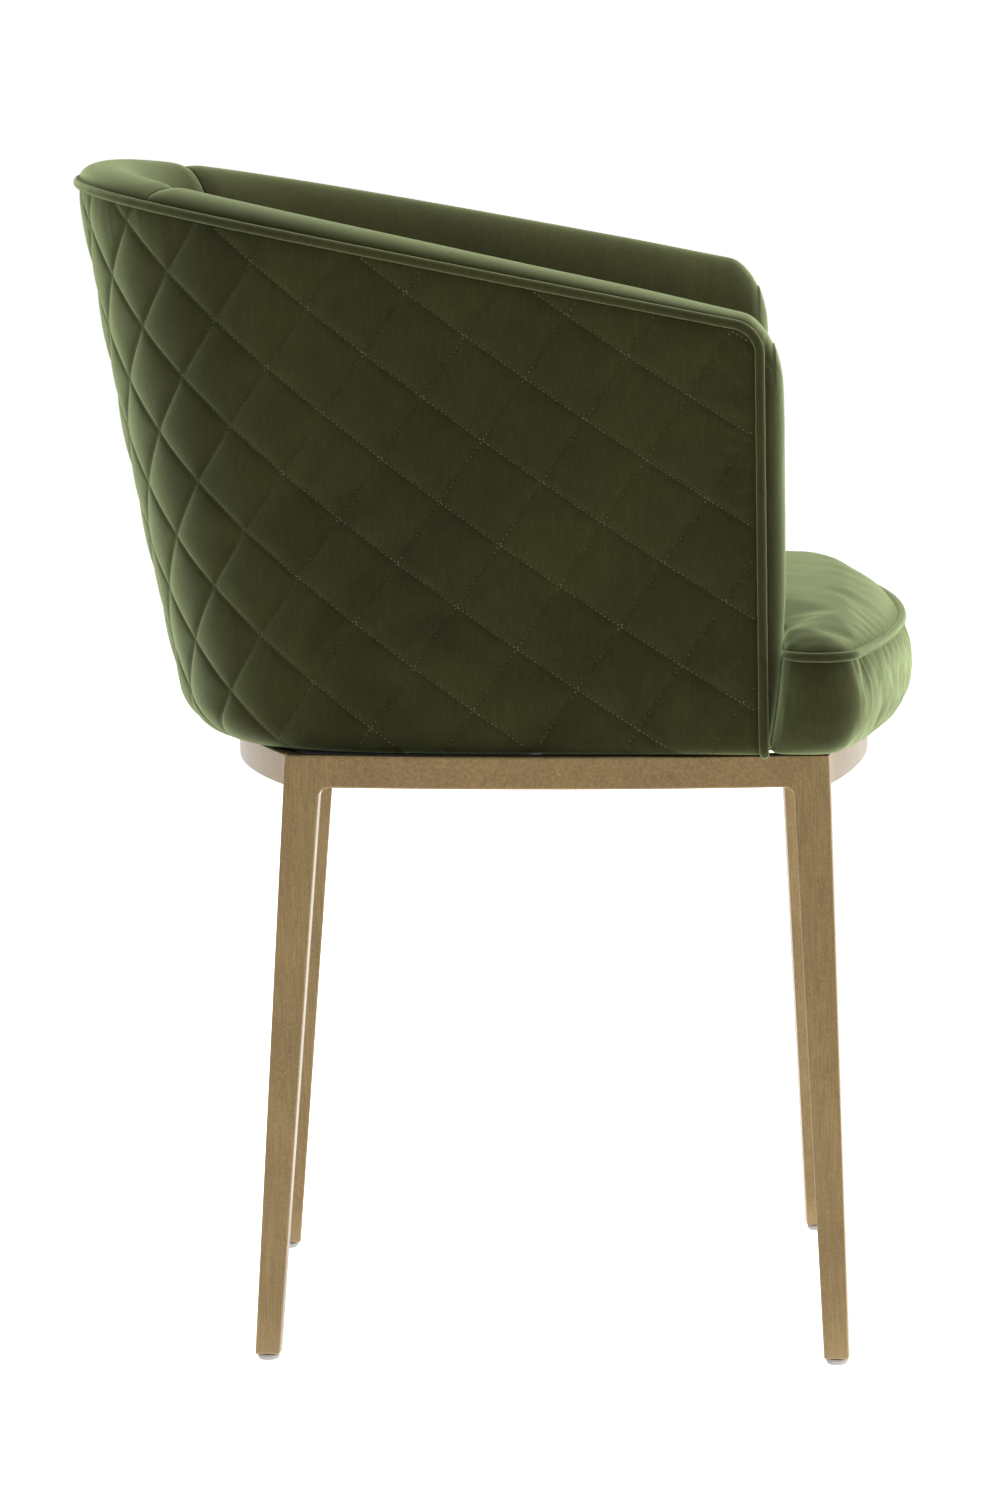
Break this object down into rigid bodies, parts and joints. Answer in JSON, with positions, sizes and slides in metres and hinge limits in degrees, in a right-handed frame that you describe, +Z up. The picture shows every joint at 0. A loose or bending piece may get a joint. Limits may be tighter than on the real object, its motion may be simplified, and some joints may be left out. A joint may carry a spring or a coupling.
{
  "type": "dining chair",
  "caption": "Tub-backed upholstered dining armchair with a diamond-quilted outer back, a smooth padded inner back, a round-fronted seat and a slim tapered metal base.",
  "frame": {"origin": "on the floor, under the middle of the chair's overall box", "axes": "+Z up, -Y is the front of the seat, +X is the sitter's left"},
  "size_m": [0.5776, 0.5749, 0.8005],
  "materials": {
    "velvet_quilted": "quilted short-pile velvet",
    "velvet_inner": "short-pile velvet",
    "velvet_seat": "short-pile velvet",
    "velvet_piping": "velvet-covered cord",
    "brass_frame": "brushed antique brass",
    "zinc_screw": "zinc plated",
    "nylon_glide": "matte",
    "plywood": "raw birch plywood",
    "foam": "upholstery foam",
    "lining": "black non-woven lining"
  },
  "bodies": {
    "root": {"leg_front_left": "brass_frame", "leg_front_right": "brass_frame", "leg_rear_left": "brass_frame", "leg_rear_right": "brass_frame", "side_rail_left": "brass_frame", "side_rail_right": "brass_frame", "front_rail": "brass_frame", "rear_rail": "brass_frame", "mount_plate_front_left": "brass_frame", "mount_plate_front_right": "brass_frame", "mount_plate_rear_left": "brass_frame", "mount_plate_rear_right": "brass_frame", "mount_screw_front_left": "zinc_screw", "mount_screw_front_right": "zinc_screw", "mount_screw_rear_left": "zinc_screw", "mount_screw_rear_right": "zinc_screw", "back_bolt_left_1": "zinc_screw", "back_bolt_left_2": "zinc_screw", "back_bolt_right_1": "zinc_screw", "back_bolt_right_2": "zinc_screw", "glide_front_left": "nylon_glide", "glide_front_right": "nylon_glide", "glide_rear_left": "nylon_glide", "glide_rear_right": "nylon_glide", "seat_board": "plywood", "dust_cover": "lining", "seat_foam": "foam", "seat_top_cover": "velvet_seat", "seat_side_band": "velvet_seat", "seat_welt": "velvet_piping", "back_shell": "plywood", "inner_pad_center": "velvet_inner", "inner_pad_left": "velvet_inner", "inner_pad_right": "velvet_inner", "quilted_cover": "velvet_quilted", "back_welt": "velvet_piping"}
  },
  "joints": []
}
